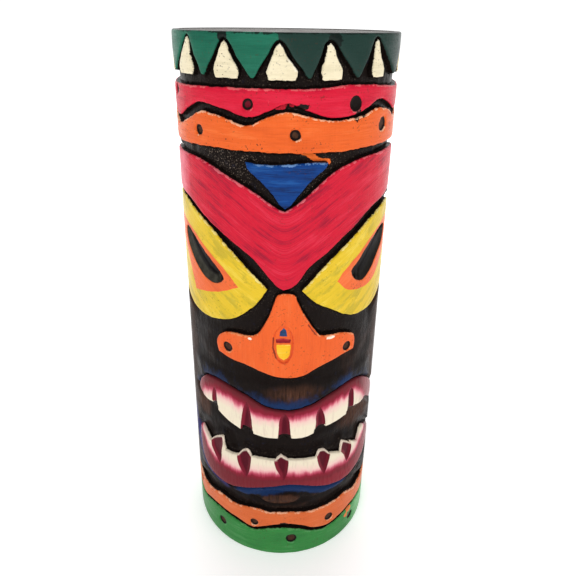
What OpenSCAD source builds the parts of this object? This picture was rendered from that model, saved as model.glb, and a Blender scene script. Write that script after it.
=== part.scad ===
// Carved and painted tiki figure: an upright log with a mask in low relief.
// Origin at the centre of the base, +Z up, the face towards -Y, millimetres.
//
// Every painted land is a raised solid of its own on the plain wooden core. An outline is a list
// of [arc, level] points: arc runs round the log from the centre line of the face, to the
// viewer's right, and level is the height above the base, both on a log of the nominal size.
// A third value of 1 makes the point a sharp corner. The curve runs smoothly through the others.

/* [Log] */
// Height of the standing log
height = 203; // [180:1:230]
// Diameter over the painted lands
diameter = 76; // [68:1:84]
// Depth of the carving between the lands
relief = 2; // [1.4:0.1:2.6]
// Depth of the mouth below the carved ground
mouth_depth = 1.5; // [0.5:0.1:3]

/* [Crown] */
// Height of the green crown band
crown_h = 12.6; // [12:0.1:14]
// Number of cream teeth round the crown
crown_marks = 14; // [12:1:14]
// Width of the black cut beside the tip of a crown tooth
crown_cut = 1.6; // [0.8:0.1:2]
// Width of the blunt lower points of the green band
crown_point = 0.8; // [0.4:0.1:2]

/* [Bands] */
// Number of dark spots round each band
spots_round = 7; // [5:1:9]
// Depth of a spot below its band
spot_depth = 0.5; // [0.2:0.1:1]

/* [Finish] */
// Largest step between the points of a smooth outline
outline_step = 1.6; // [1:0.1:3]
// Number of columns round a full wavy band
band_columns = 120; // [80:8:160]

/* [Hidden] */
$fn = 128;
NOMINAL_HEIGHT = 203;
NOMINAL_RADIUS = 38;
TURN = 2 * PI * NOMINAL_RADIUS;
HALF_TURN = TURN / 2;
radius = diameter / 2;
core_radius = radius - relief;
crown_base = NOMINAL_HEIGHT - crown_h;
GREEN = "#2f6b55";
CREAM = "#efe3c6";
RED = "#dc263a";
ORANGE = "#ee6c30";
YELLOW = "#eecd32";
BLUE = "#123c82";
LEAF_GREEN = "#3c964b";
MAROON = "#7d2030";
IVORY = "#f5e8d7";
DARK_WOOD = "#241c18";

// ---- outlines: crown ----
// Each tooth of the crown: [left end, right end, arc of the tip, level of the tip]
CROWN_FRONT = [
    [-41.4, -31.7, -34.8, 201.2],
    [-22.8, -14.1, -18.8, 200.6],
    [-5.8, 3.3, -1.9, 200.3],
    [10.1, 17.1, 12.7, 200.4],
    [28.3, 34.8, 30.2, 201.2]
];
crown_side = 57;  // arc of the first tooth past either end of the front row
crown_pitch = (TURN - 2 * crown_side) / (crown_marks - 6);
function crown_mark(i) =
    i < len(CROWN_FRONT) ? CROWN_FRONT[i]
    : let (
        middle = crown_side + crown_pitch * (i - 5),
        half = 4.3 + 0.5 * sin(150 * i),
        lean = 1.2 * sin(200 * i)
    ) [middle - half, middle + half, middle + lean, 200.7 + 0.4 * sin(100 * i)];
function crown_tooth_outline(mark) =
    let (
        left = mark[0], right = mark[1], tip = mark[2], top = mark[3], foot = crown_base + 0.1
    ) [
        [left + 0.7, foot, 1],
        [left, foot + 2.2],
        [0.55 * left + 0.45 * tip, foot + 6.6],
        [tip - 0.9, top - 0.7],
        [tip + 0.1, top],
        [tip + 0.9, top - 0.9],
        [0.5 * right + 0.5 * tip, foot + 6],
        [right, foot + 2.4],
        [right - 0.4, foot, 1]
    ];
// The cut round a tooth reaches half way to its neighbours, so the green between is a point
function gap_after(i) =
    let (
        wrap = i == crown_marks - 1 ? TURN : 0,
        next = crown_mark((i + 1) % crown_marks)
    ) (crown_mark(i)[1] + next[0] + wrap) / 2;
function crown_cut_edge(i) =
    let (
        wrap = i == 0 ? TURN : 0,
        left = gap_after((i + crown_marks - 1) % crown_marks) - wrap + crown_point / 2,
        right = gap_after(i) - crown_point / 2,
        tip = crown_mark(i)[2],
        top = min(crown_mark(i)[3] + 0.9, NOMINAL_HEIGHT - 1)
    ) [
        [left, crown_base + 0.6],
        [0.8 * left + 0.2 * tip, crown_base + 3],
        [0.45 * left + 0.55 * tip - 0.3, crown_base + 6.4],
        [tip - crown_cut, top - 0.9],
        [tip, top],
        [tip + crown_cut, top - 0.9],
        [0.45 * right + 0.55 * tip + 0.3, crown_base + 6.2],
        [0.8 * right + 0.2 * tip, crown_base + 3],
        [right, crown_base + 0.6]
    ];
CROWN_LOW = [for (i = [0 : crown_marks - 1]) each crown_cut_edge(i)];
CROWN_TOP = [[-2 * TURN, NOMINAL_HEIGHT], [2 * TURN, NOMINAL_HEIGHT]];

// ---- outlines: bands, as [arc, level] along one edge ----
// Behind the face a wave goes on at the same pitch, which makes 8 waves to the turn
function back_wave(crest, trough, first = 61.5) = [
    for (i = [0 : 4]) each [
        [first - 13.5 + 29.5 * i, trough],
        [first + 29.5 * i, crest]
    ]
];
function shifted(points, by) = [for (p = points) [p[0] + by, p[1]]];
function closed_edge(front, back) = concat(shifted(back, -TURN), front, back, shifted(front, TURN));

RED_TOP = closed_edge(
    [[-50, 187], [-35, 187.4], [-14, 188], [6, 188.1], [21, 189], [34, 188.1], [50, 187.2]],
    [[80, 188], [120, 187.4], [155, 188]]);
RED_LOW = closed_edge(
    [[-45, 177.2], [-35, 181.3], [-28.5, 183], [-20, 181.8], [-11, 180], [-5, 182], [0.5, 184],
     [7, 182], [14, 180], [18, 179.8], [26, 181.5], [34, 184.2], [42, 182]],
    back_wave(183.4, 179.8));
ORANGE_TOP = closed_edge(
    [[-45, 174.6], [-35, 178], [-28, 180.3], [-20, 179.3], [-12, 177.5], [-5, 180.4], [1, 181.7],
     [8, 180.3], [16, 178.9], [25, 179.7], [33, 181.5], [42, 179.8]],
    back_wave(180.9, 177.3));
ORANGE_LOW = closed_edge(
    [[-45, 169], [-30, 169.5], [-15, 170], [10, 169.7], [30, 169.9], [45, 169.8]],
    [[80, 169.3], [120, 170], [155, 169.5]]);
CHIN_TOP = closed_edge(
    [[-40, 20.6], [-35, 21.3], [-28, 23.5], [-21, 22.7], [-10, 24.2], [-5, 23.3], [3, 23.6],
     [12, 22.2], [21, 22.4], [29, 23], [37, 20.4]],
    back_wave(23.2, 21.4));
CHIN_LOW = closed_edge(
    [[-42, 13], [-35, 15], [-28, 16.1], [-20, 15.3], [-12, 13.4], [-7, 15.2], [1.5, 17.3],
     [8, 15.6], [15, 12], [21, 10.8], [28, 12.3], [35, 13.3]],
    back_wave(15.4, 12.4));
BASE_TOP = closed_edge(
    [[-42, 11.3], [-35, 13.3], [-28, 14.5], [-20, 13.4], [-12, 11.8], [-6, 13.7], [0.5, 14.7],
     [7, 13.4], [13, 10.7], [20, 9.2], [28, 10.5], [35, 11.8]],
    back_wave(13.8, 10.8));
BASE_LOW = [[-2 * TURN, 0], [2 * TURN, 0]];

// Spots on each band: [arc, level, spot radius] in front, and the level of those behind
RED_SPOTS = [[-11.4, 183.6, 1.6], [22.3, 183.6, 2.3]];
ORANGE_SPOTS = [[-30, 174.6, 1.6], [3, 175.2, 1.6], [36.3, 176.2, 2.2]];
CHIN_SPOTS = [[-11.4, 16.4, 1.7], [21.2, 15.1, 2]];
BASE_SPOTS = [[-27.5, 8.3, 2], [4.3, 8.6, 2.2], [35.2, 5.6, 2]];
function spots(front, back_level) =
    let (
        last = front[len(front) - 1][0],
        missing = spots_round - len(front),
        pitch = (TURN - last + front[0][0]) / (missing + 1)
    ) concat(front, [for (i = [1 : missing]) [last + pitch * i, back_level, 1.6]]);

// ---- outlines: forehead and eyes ----
FOREHEAD_TRIANGLE = [
    [-12.6, 166.6, 1], [-6, 166.1], [0, 166.3], [7, 166.8], [13.8, 166.5, 1], [13, 165],
    [9.5, 162.3], [6, 159], [3, 155], [1.3, 153], [0, 152.2, 1], [-1.7, 153.8], [-4.4, 157.6],
    [-8, 161.2], [-12, 164.8]
];
BROW_END = 68;
BROW_TOP = [
    [-BROW_END, 160.5], [-64, 164], [-50, 165.4], [-35, 165.5], [-30, 165], [-20, 162], [-10, 157.5],
    [-5, 154], [-1.5, 151.9], [0, 151.3], [2, 152.5], [10, 159], [15, 162.8], [20, 165.2],
    [30, 166.9], [45, 167.2], [64, 165], [BROW_END, 161.5]
];
BROW_LOW = [
    [-BROW_END, 156], [-64, 153], [-52, 151.8], [-40, 150.7], [-35, 149], [-25, 143.9], [-20, 141.2],
    [-10, 134.6], [-5, 128.5], [-2, 125.5], [0, 124.3], [3, 125.5], [10, 133.7], [15, 137.2],
    [20, 141.2], [25, 144.5], [30, 147.6], [35, 149.7], [45, 151.2], [64, 153.5], [BROW_END, 157]
];
LEFT_EYE = [
    [-5.6, 124.2, 1], [-9, 127.7], [-14, 132.4], [-20, 137.8], [-28, 143.6], [-36, 147.1],
    [-44, 149.6], [-53, 149.8], [-61, 145], [-66, 134], [-65, 123], [-58, 114.6], [-48, 110.6],
    [-40, 108.4], [-32, 107.9], [-25, 108.6], [-18, 111.2], [-12, 115.7], [-8, 120]
];
LEFT_IRIS = [
    [-15.8, 123.8, 1], [-20, 121.8], [-25, 119.7], [-31, 117.8], [-37.8, 116, 1], [-39.6, 121],
    [-43.6, 127.6], [-50, 134.6], [-55.5, 140.6, 1], [-49, 142], [-42, 140.9], [-34, 137.8],
    [-27, 133.4], [-20, 128.4]
];
LEFT_PUPIL = [
    [-21.8, 125.3], [-22.9, 127.6], [-26, 130.2], [-31, 133.8], [-37, 137.3], [-42, 139.2],
    [-44.6, 137.4], [-43.2, 133], [-39, 129.1], [-34, 125.2], [-29, 122.9], [-24.4, 123.1]
];
RIGHT_EYE = [
    [6.2, 123.7, 1], [9, 120.9], [13, 117.8], [18, 114.8], [25, 110.9], [31, 109.8], [38, 110],
    [46, 112.2], [56, 115], [63, 122], [66, 131], [62, 141], [54, 146.8], [46, 148.1],
    [38, 146.6], [30, 143.5], [23, 139], [17, 134.5], [11, 129.2]
];
RIGHT_IRIS = [
    [18.8, 125.8, 1], [22, 129.5], [28, 134.1], [35, 138.6], [43, 141.6], [50, 142.4],
    [56, 140.8, 1], [51, 133.6], [46, 127.6], [40, 122.4], [35, 120.2], [29, 120.1], [23, 121.7]
];
RIGHT_PUPIL = [
    [24.8, 128.2], [28, 131.3], [32, 134.9], [38, 138.6], [44, 140.1], [47.6, 138], [45.6, 133.6],
    [41, 129.9], [36, 125.6], [31, 123], [27, 124.4], [25.2, 126.4]
];

// ---- outlines: nose ----
NOSE = [
    [-1.8, 122.5], [3.5, 122.6], [4.7, 120], [6.3, 116.6], [8.7, 112.3], [11.2, 108.4],
    [13.4, 105.6], [16, 105.2], [20.5, 104.8], [25.5, 103.4], [28.6, 101.6], [29.2, 98.4],
    [28.8, 95.4, 1], [24, 95.2], [18, 94], [13, 92.6], [8, 90.2], [3, 89.3], [-3, 89.8],
    [-8, 91.4], [-14, 93.3], [-20, 94], [-25.4, 95.2, 1], [-26.3, 98.4], [-25.2, 101.8],
    [-22, 104.3], [-17, 105.4], [-12.5, 105.3], [-9, 106.8], [-6.6, 111], [-4.6, 115.2],
    [-3, 119.8]
];
NOSE_OVAL = [
    [-3.4, 101], [-3.4, 106], [-2, 109.6], [0.2, 111], [2, 109.7], [3.4, 106], [3.4, 101],
    [2.4, 97.2], [0.4, 95.5], [-1.8, 96.8]
];
NOSE_MARK_BLUE = [[-1.4, 106.4, 1], [-0.9, 108.6], [0.2, 109.9], [1.2, 108.6], [1.6, 106.3, 1]];
NOSE_MARK_RED = [[-2.6, 105.4, 1], [0, 105.6], [2.7, 105.4, 1], [2.6, 103.8, 1], [-2.5, 103.7, 1]];
NOSE_MARK_YELLOW = [
    [-2.5, 103.1, 1], [2.6, 103.2, 1], [2.5, 100], [1.8, 97.6], [0.3, 96.4], [-1.4, 97.6],
    [-2.4, 100]
];
NOSTRILS = [[-21, 98.6, 2], [25, 97.9, 1.9]];

// ---- outlines: mouth and uncut wood ----
BACK_FROM = 72;
CHEEK_FROM = 50;
GUM_FROM = -40.8;
GUM_TO = 58;
LIP_FROM = -44;
LIP_TO = 57;
GUM_TOP = [
    [GUM_FROM, 72], [-40, 74.2], [-38, 76.8], [-34, 80], [-26, 81.5], [-15, 79.3], [-5, 75],
    [2.5, 74], [10, 75.3], [20, 78.7], [28, 80.4], [33, 79.8], [40, 76.4], [47, 71.2],
    [52, 66.4], [GUM_TO, 60]
];
GUM_LOW = [
    [GUM_FROM, 70.8], [-39, 69.6], [-37, 69.6], [-34, 70.2], [-28.8, 69.8], [-21, 66.6],
    [-13.5, 64.4], [-6, 63.2], [0.7, 63], [8, 63.6], [14.5, 65], [22, 66.6], [29, 67.4],
    [36, 67.6], [41, 66], [46, 63], [52, 58.8], [GUM_TO, 57.8]
];
UPPER_TEETH = [
    [[-37.6, 69, 1], [-34, 68.6], [-30.6, 69.3, 1], [-30, 73], [-30.5, 75.6, 1], [-34, 74.9],
     [-37, 73]],
    [[-27.3, 67.4, 1], [-22, 65], [-16.4, 63, 1], [-15.9, 69], [-15.7, 75.6, 1], [-21, 77],
     [-27.6, 76.4, 1], [-27.6, 72]],
    [[-11.2, 62.5, 1], [-6, 61.6], [-1.6, 61.5, 1], [-1.3, 66], [-1.2, 71.4, 1], [-6, 72],
     [-11.8, 73, 1], [-11.7, 67]],
    [[3.4, 61.4, 1], [8, 61.4], [12.4, 62.7, 1], [12.9, 67], [12.9, 72.2, 1], [8, 71.6],
     [2.8, 71.3, 1], [3, 66]],
    [[17.2, 64.6, 1], [22, 64.9], [27.4, 65.8, 1], [27.7, 70], [27.6, 75.8, 1], [22, 75.3],
     [16.3, 73.8, 1], [16.6, 69]],
    [[31.2, 68, 1], [35, 66.4], [39.6, 66, 1], [39, 70], [37, 73.6], [34, 76], [30.6, 76.6, 1],
     [31.1, 72]]
];
LIP_TOP = [
    [LIP_FROM, 47], [-42.8, 50.2], [-41.4, 51], [-39.4, 50], [-37, 48.8], [-34.6, 47.6],
    [-32, 50.6], [-28, 53.4], [-25.4, 54.6], [-24.6, 48.6], [-18.4, 49.6],
    [-16.6, 52], [-13.6, 53.2], [-12, 50.9], [-7, 50.6], [-2.6, 50.6], [-0.4, 52.6], [2.2, 51],
    [8, 50.3], [14, 50.2], [15.4, 52.6], [17.4, 52.2], [20, 49.9], [25.2, 47.4], [26.4, 52.2],
    [30, 50], [33.5, 47], [36.6, 45.2], [38.2, 49.6], [40, 51.8], [45, 49.2], [52, 44.2],
    [LIP_TO, 40.6]
];
LIP_LOW = [
    [LIP_FROM, 44], [-43, 38.5], [-40, 34.3], [-33, 31.8], [-25, 31.3], [-15, 33.8], [-5, 36.8],
    [3, 38.3], [10, 36.8], [20, 33.3], [30, 31.8], [40, 33], [46, 34.6], [52, 37], [LIP_TO, 40]
];
LOWER_TEETH = [
    [[-41, 51.5, 1], [-38, 50.3], [-34.8, 48.6, 1], [-33, 46.4], [-29.6, 42.4, 1], [-35, 44.2],
     [-39.4, 47.8]],
    [[-24.9, 49, 1], [-21, 49], [-18.4, 49.8, 1], [-17.9, 46], [-16.2, 42.4, 1], [-21, 42],
     [-26.4, 42.2, 1], [-26, 45.6]],
    [[-12.4, 51, 1], [-7, 50.9], [-2.9, 50.8, 1], [-2, 47], [-0.6, 44.2, 1], [-6, 44],
     [-13, 43, 1], [-12.5, 47]],
    [[2.6, 51.2, 1], [8, 50.6], [14, 50.4, 1], [14.7, 47], [16.4, 42.6, 1], [9, 43.6],
     [2, 44.2, 1], [2.4, 47.6]],
    [[20, 50.1, 1], [23, 48.8], [25.5, 47.6, 1], [27.6, 45], [28.7, 41.8, 1], [23, 42],
     [18.2, 42.4, 1], [19.2, 46]],
    [[31.7, 49.6, 1], [34.4, 47.6], [37, 46.2, 1], [35, 43.8], [30.6, 42, 1], [31.9, 46]]
];

// ---- smooth curves ----
// A curve through a list of [x, y] points that never swings past one of them
function rise(t, i) = (t[i + 1][1] - t[i][1]) / (t[i + 1][0] - t[i][0]);
function slope(t, i) =
    i == 0 ? rise(t, 0)
    : i == len(t) - 1 ? rise(t, i - 1)
    : let (a = rise(t, i - 1), b = rise(t, i)) a * b <= 0 ? 0 : 2 * a * b / (a + b);
function span_of(t, x, i = 0) = i >= len(t) - 2 || x < t[i + 1][0] ? i : span_of(t, x, i + 1);
function hermite(p, q, out, into, u) =
    (2 * u ^ 3 - 3 * u ^ 2 + 1) * p + (u ^ 3 - 2 * u ^ 2 + u) * out
    + (3 * u ^ 2 - 2 * u ^ 3) * q + (u ^ 3 - u ^ 2) * into;
function height_at(t, x) =
    let (i = span_of(t, x), w = t[i + 1][0] - t[i][0])
    hermite(t[i][1], t[i + 1][1], slope(t, i) * w, slope(t, i + 1) * w, (x - t[i][0]) / w);

// A closed outline as a smooth loop that keeps its sharp corners
function at(o, i) = let (p = o[(i + len(o)) % len(o)]) [p[0], p[1]];
function is_corner(o, i) = len(o[(i + len(o)) % len(o)]) > 2;
function unit(v) = v / norm(v);
function heading(o, i, side) =
    is_corner(o, i) ? unit(side > 0 ? at(o, i + 1) - at(o, i) : at(o, i) - at(o, i - 1))
    : unit(at(o, i + 1) - at(o, i - 1));
function smooth(o) = [
    for (i = [0 : len(o) - 1])
        let (
            p = at(o, i),
            q = at(o, i + 1),
            long = norm(q - p),
            steps = max(1, round(long / outline_step))
        )
        for (k = [0 : steps - 1])
            hermite(p, q, heading(o, i, 1) * long, heading(o, i + 1, -1) * long, k / steps)
];
function spot_outline(spot) = [
    for (a = [0 : 22.5 : 337.5]) [spot[0] + spot[2] * cos(a), spot[1] + spot[2] * sin(a)]
];

// ---- solids on the log ----
function bearing_of(arc) = arc / NOMINAL_RADIUS * 180 / PI;
function level_of(z) = z * height / NOMINAL_HEIGHT;
function flat(outline, arc) = [
    for (p = outline) [radius * sin(bearing_of(p[0] - arc)), level_of(p[1])]
];

// A straight prism of one outline, pointing outwards at the given arc
module prism(outline, arc, holes = [], reach = radius + 1) {
    rotate([0, 0, bearing_of(arc)]) rotate([90, 0, 0])
        linear_extrude(height = reach) difference() {
            polygon(flat(outline, arc));
            for (hole = holes) polygon(flat(hole, arc));
        }
}

// The part of the log's skin between two radii
module skin(outer = radius, inner = core_radius) {
    difference() {
        cylinder(h = height, r = outer);
        translate([0, 0, -1]) cylinder(h = height + 2, r = inner);
    }
}

// A raised land: one outline cut out of the log's skin
module land(outline, arc, holes = [], outer = radius) {
    intersection() {
        skin(outer);
        prism(outline, arc, holes);
    }
}

// A wavy strip of the log's skin between two edge curves, with a post at each arc of a list. It
// is closed all round if loop is true
module strip(low, high, arcs, loop = false) {
    posts = len(arcs);
    points = [
        for (arc = arcs)
            let (
                a = bearing_of(arc),
                z0 = level_of(height_at(low, arc)),
                z1 = level_of(height_at(high, arc))
            )
            for (corner = [[core_radius, z0], [radius, z0], [radius, z1], [core_radius, z1]])
                [corner[0] * sin(a), -corner[0] * cos(a), corner[1]]
    ];
    sides = [
        for (i = [0 : posts - (loop ? 1 : 2)])
            let (a = 4 * i, b = 4 * ((i + 1) % posts))
            for (k = [0 : 3])
                let (n = (k + 1) % 4)
                each [[a + k, a + n, b + n], [a + k, b + n, b + k]]
    ];
    last = 4 * (posts - 1);
    ends = loop ? [] : [[0, 2, 1], [0, 3, 2], [last, last + 1, last + 2], [last, last + 2, last + 3]];
    polyhedron(points, concat(sides, ends));
}
function evenly(from, to, steps) = [for (i = [0 : steps]) from + (to - from) * i / steps];
function all_round() = [for (i = [0 : band_columns - 1]) -HALF_TURN + TURN * i / band_columns];

// A band all round the log, with a pocket for each of its spots
module band(low, high, spot_list) {
    difference() {
        strip(low, high, all_round(), loop = true);
        for (spot = spot_list) prism(spot_outline(spot), spot[0]);
    }
}
module spot_group(spot_list) {
    for (spot = spot_list) land(spot_outline(spot), spot[0], outer = radius - spot_depth);
}

// A sector of solid wood at full radius, between two levels
module wood_sector(from, to, low, high) {
    translate([0, 0, level_of(low)])
        rotate([0, 0, bearing_of(from) - 90])
            rotate_extrude(angle = bearing_of(to - from))
                square([radius, level_of(high - low)]);
}

// ---- log ----
module log_core() {
    color(DARK_WOOD) {
        difference() {
            cylinder(h = height, r = core_radius);
            mouth_hollow();
        }
        wood_sector(BACK_FROM, TURN - BACK_FROM, 27, 166);
        for (from = [CHEEK_FROM, TURN - BACK_FROM])
            wood_sector(from, from + BACK_FROM - CHEEK_FROM, 80, 107);
    }
}
module mouth_hollow() {
    translate([0, 0, level_of(53)])
        rotate([0, 0, bearing_of(-38) - 90])
            rotate_extrude(angle = bearing_of(76))
                translate([core_radius - mouth_depth, 0]) square([mouth_depth + 1, level_of(9)]);
}

// ---- crown ----
module crown_band() {
    posts = [
        for (i = [0 : len(CROWN_LOW) - 1])
            let (here = CROWN_LOW[i][0], next = i + 1 < len(CROWN_LOW) ? CROWN_LOW[i + 1][0] : here)
            for (part = [0 : next > here + 1 ? 1 : 0]) here + (next - here) * part / 2
    ];
    color(GREEN) strip(CROWN_LOW, CROWN_TOP, posts, loop = true);
}
module crown_tooth(number) {
    mark = crown_mark(number - 1);
    if (number <= crown_marks)
        color(CREAM) land(smooth(crown_tooth_outline(mark)), mark[2]);
}

// ---- bands ----
module red_wave_band() {
    color(RED) band(RED_LOW, RED_TOP, spots(RED_SPOTS, 185.3));
}
module red_band_spots() {
    color(DARK_WOOD) spot_group(spots(RED_SPOTS, 185.3));
}
module orange_wave_band() {
    color(ORANGE) band(ORANGE_LOW, ORANGE_TOP, spots(ORANGE_SPOTS, 174.8));
}
module orange_band_spots() {
    color(DARK_WOOD) spot_group(spots(ORANGE_SPOTS, 174.8));
}
module chin_band() {
    color(ORANGE) band(CHIN_LOW, CHIN_TOP, spots(CHIN_SPOTS, 18));
}
module chin_band_spots() {
    color(DARK_WOOD) spot_group(spots(CHIN_SPOTS, 18));
}
module base_band() {
    color(LEAF_GREEN) band(BASE_LOW, BASE_TOP, spots(BASE_SPOTS, 6.8));
}
module base_band_spots() {
    color(DARK_WOOD) spot_group(spots(BASE_SPOTS, 6.8));
}

// ---- forehead and eyes ----
module forehead_triangle() {
    color(BLUE) land(smooth(FOREHEAD_TRIANGLE), 0);
}
module brow() {
    color(RED) strip(BROW_LOW, BROW_TOP, evenly(-BROW_END, BROW_END, 68));
}
module left_eye() {
    color(YELLOW) land(smooth(LEFT_EYE), -36, [smooth(LEFT_IRIS)]);
}
module left_iris() {
    color(ORANGE) land(smooth(LEFT_IRIS), -36, [smooth(LEFT_PUPIL)]);
}
module left_pupil() {
    color(DARK_WOOD) land(smooth(LEFT_PUPIL), -36, outer = core_radius + 0.6);
}
module right_eye() {
    color(YELLOW) land(smooth(RIGHT_EYE), 36, [smooth(RIGHT_IRIS)]);
}
module right_iris() {
    color(ORANGE) land(smooth(RIGHT_IRIS), 36, [smooth(RIGHT_PUPIL)]);
}
module right_pupil() {
    color(DARK_WOOD) land(smooth(RIGHT_PUPIL), 36, outer = core_radius + 0.6);
}

// ---- nose ----
module nose() {
    color(ORANGE) difference() {
        land(smooth(NOSE), 0, [smooth(NOSE_MARK_BLUE), smooth(NOSE_MARK_RED), smooth(NOSE_MARK_YELLOW)]);
        for (spot = NOSTRILS) prism(spot_outline(spot), spot[0]);
        intersection() {
            difference() {
                cylinder(h = height, r = radius + 1);
                cylinder(h = height, r = radius - 0.7);
            }
            prism(smooth(NOSE_OVAL), 0);
        }
    }
}
module nostril_spots() {
    color(DARK_WOOD) spot_group(NOSTRILS);
}
module nose_mark_blue() {
    color(BLUE) land(smooth(NOSE_MARK_BLUE), 0, outer = radius - 0.7);
}
module nose_mark_red() {
    color(MAROON) land(smooth(NOSE_MARK_RED), 0, outer = radius - 0.7);
}
module nose_mark_yellow() {
    color(YELLOW) land(smooth(NOSE_MARK_YELLOW), 0, outer = radius - 0.7);
}

// ---- mouth ----
function middle_of(o) = (o[0][0] + o[2][0]) / 2;
module tooth(outline) {
    color(IVORY) land(smooth(outline), middle_of(outline));
}
module upper_gum() {
    color(MAROON) difference() {
        strip(GUM_LOW, GUM_TOP, evenly(GUM_FROM, GUM_TO, 52));
        for (outline = UPPER_TEETH) prism(smooth(outline), middle_of(outline));
    }
}
module lower_lip() {
    color(MAROON) difference() {
        strip(LIP_LOW, LIP_TOP, evenly(LIP_FROM, LIP_TO, 51));
        for (outline = LOWER_TEETH) prism(smooth(outline), middle_of(outline));
    }
}

log_core();
crown_band();
for (i = [1 : 14]) crown_tooth(i);
red_wave_band();
red_band_spots();
orange_wave_band();
orange_band_spots();
forehead_triangle();
brow();
left_eye();
left_iris();
left_pupil();
right_eye();
right_iris();
right_pupil();
nose();
nostril_spots();
nose_mark_blue();
nose_mark_red();
nose_mark_yellow();
upper_gum();
for (i = [1 : 6]) tooth(UPPER_TEETH[i - 1]);
lower_lip();
for (i = [1 : 6]) tooth(LOWER_TEETH[i - 1]);
chin_band();
chin_band_spots();
base_band();
base_band_spots();
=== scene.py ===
import math

import bmesh
import bpy
import numpy as np
from mathutils import Matrix, Vector
from mathutils.geometry import delaunay_2d_cdt
from mathutils.kdtree import KDTree


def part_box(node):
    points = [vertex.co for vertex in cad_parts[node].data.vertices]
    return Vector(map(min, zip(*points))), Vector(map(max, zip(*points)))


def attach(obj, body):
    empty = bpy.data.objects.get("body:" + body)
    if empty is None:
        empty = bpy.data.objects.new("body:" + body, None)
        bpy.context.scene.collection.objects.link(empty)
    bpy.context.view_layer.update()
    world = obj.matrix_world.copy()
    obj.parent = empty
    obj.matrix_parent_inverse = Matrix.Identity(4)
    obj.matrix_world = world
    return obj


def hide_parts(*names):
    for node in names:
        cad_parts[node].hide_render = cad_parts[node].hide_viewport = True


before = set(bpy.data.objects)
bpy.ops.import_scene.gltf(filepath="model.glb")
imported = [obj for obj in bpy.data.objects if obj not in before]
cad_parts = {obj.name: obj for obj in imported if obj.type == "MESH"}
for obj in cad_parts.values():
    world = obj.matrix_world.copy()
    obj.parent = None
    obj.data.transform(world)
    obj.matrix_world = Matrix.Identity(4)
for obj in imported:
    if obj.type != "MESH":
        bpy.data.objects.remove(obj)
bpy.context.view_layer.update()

# ---- sizes, from the frame ----
MM = 0.001
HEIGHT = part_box("log_core")[1].z / MM
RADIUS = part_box("base_band")[1].x / MM
TURN = 2 * math.pi * RADIUS
RELIEF = 2.0  # from the painted lands down to the carved ground
GROUND = RADIUS - RELIEF
ROOT = GROUND - 0.5  # how far a land reaches into the log

# ---- small maths ----
def smooth(low, high, x):
    """0 below low, 1 above high, with a soft step between."""
    t = np.clip((x - low) / (high - low), 0, 1)
    return t * t * (3 - 2 * t)


def noise(s, z, across, along, seed):
    """Soft noise from -1 to 1 in cells of across by along, with no seam behind the log."""
    cells = max(2, round(TURN / across))
    rows = int(HEIGHT / along) + 24
    table = np.random.default_rng(seed).uniform(-1, 1, (cells, rows))
    u = s / TURN * cells
    v = z / along + 8
    i = np.floor(u).astype(int)
    j = np.clip(np.floor(v).astype(int), 0, rows - 2)
    a = smooth(0, 1, u - i)
    b = smooth(0, 1, v - j)
    lower = table[i % cells, j] * (1 - a) + table[(i + 1) % cells, j] * a
    upper = table[i % cells, j + 1] * (1 - a) + table[(i + 1) % cells, j + 1] * a
    return lower * (1 - b) + upper * b


def on_log(s, z, r):
    """Points on the log, in metres."""
    a = s / RADIUS
    return np.stack([r * np.sin(a), -r * np.cos(a), z], 1) * MM


def unit(vectors):
    """Vectors with a length of 1."""
    return vectors / np.maximum(np.linalg.norm(vectors, axis=1)[:, None], 1e-6)


def at_seam(points):
    """Which points lie on the line behind the log, where a ring is cut open."""
    return np.abs(np.abs(points[:, 0]) - TURN / 2) < 0.01


def level_of(line, s):
    """The level of a line, given as points, at each arc."""
    return np.interp(s, *np.array(line, float).T)


# ---- outlines, read from the frame ----
CORNER = math.cos(math.radians(32))  # a sharper turn than this stays a corner
SAMPLE = 0.2  # between the points of a rim


def smooth_loop(loop, step):
    """A closed loop as a finer curve through its points, which keeps its corners."""
    gap = np.linalg.norm(np.roll(loop, -1, 0) - loop, axis=1)
    loop = loop[gap > 0.12]
    ahead = np.roll(loop, -1, 0) - loop
    long = np.linalg.norm(ahead, axis=1)[:, None]
    ahead = ahead / long
    behind = np.roll(ahead, 1, 0)
    middle = unit(ahead + behind)
    corner = ((ahead * behind).sum(1) < CORNER)[:, None]
    leave = np.where(corner, ahead, middle)
    arrive = np.roll(np.where(corner, behind, middle), -1, 0)
    out = []
    for p, q, d, e, n in zip(loop, np.roll(loop, -1, 0), leave * long, arrive * long, long[:, 0]):
        steps = max(1, round(n / step))
        for k in range(steps):
            u = k / steps
            out.append((2 * u**3 - 3 * u**2 + 1) * p + (u**3 - 2 * u**2 + u) * d
                       + (3 * u**2 - 2 * u**3) * q + (u**3 - u**2) * e)
    return np.array(out)


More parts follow.
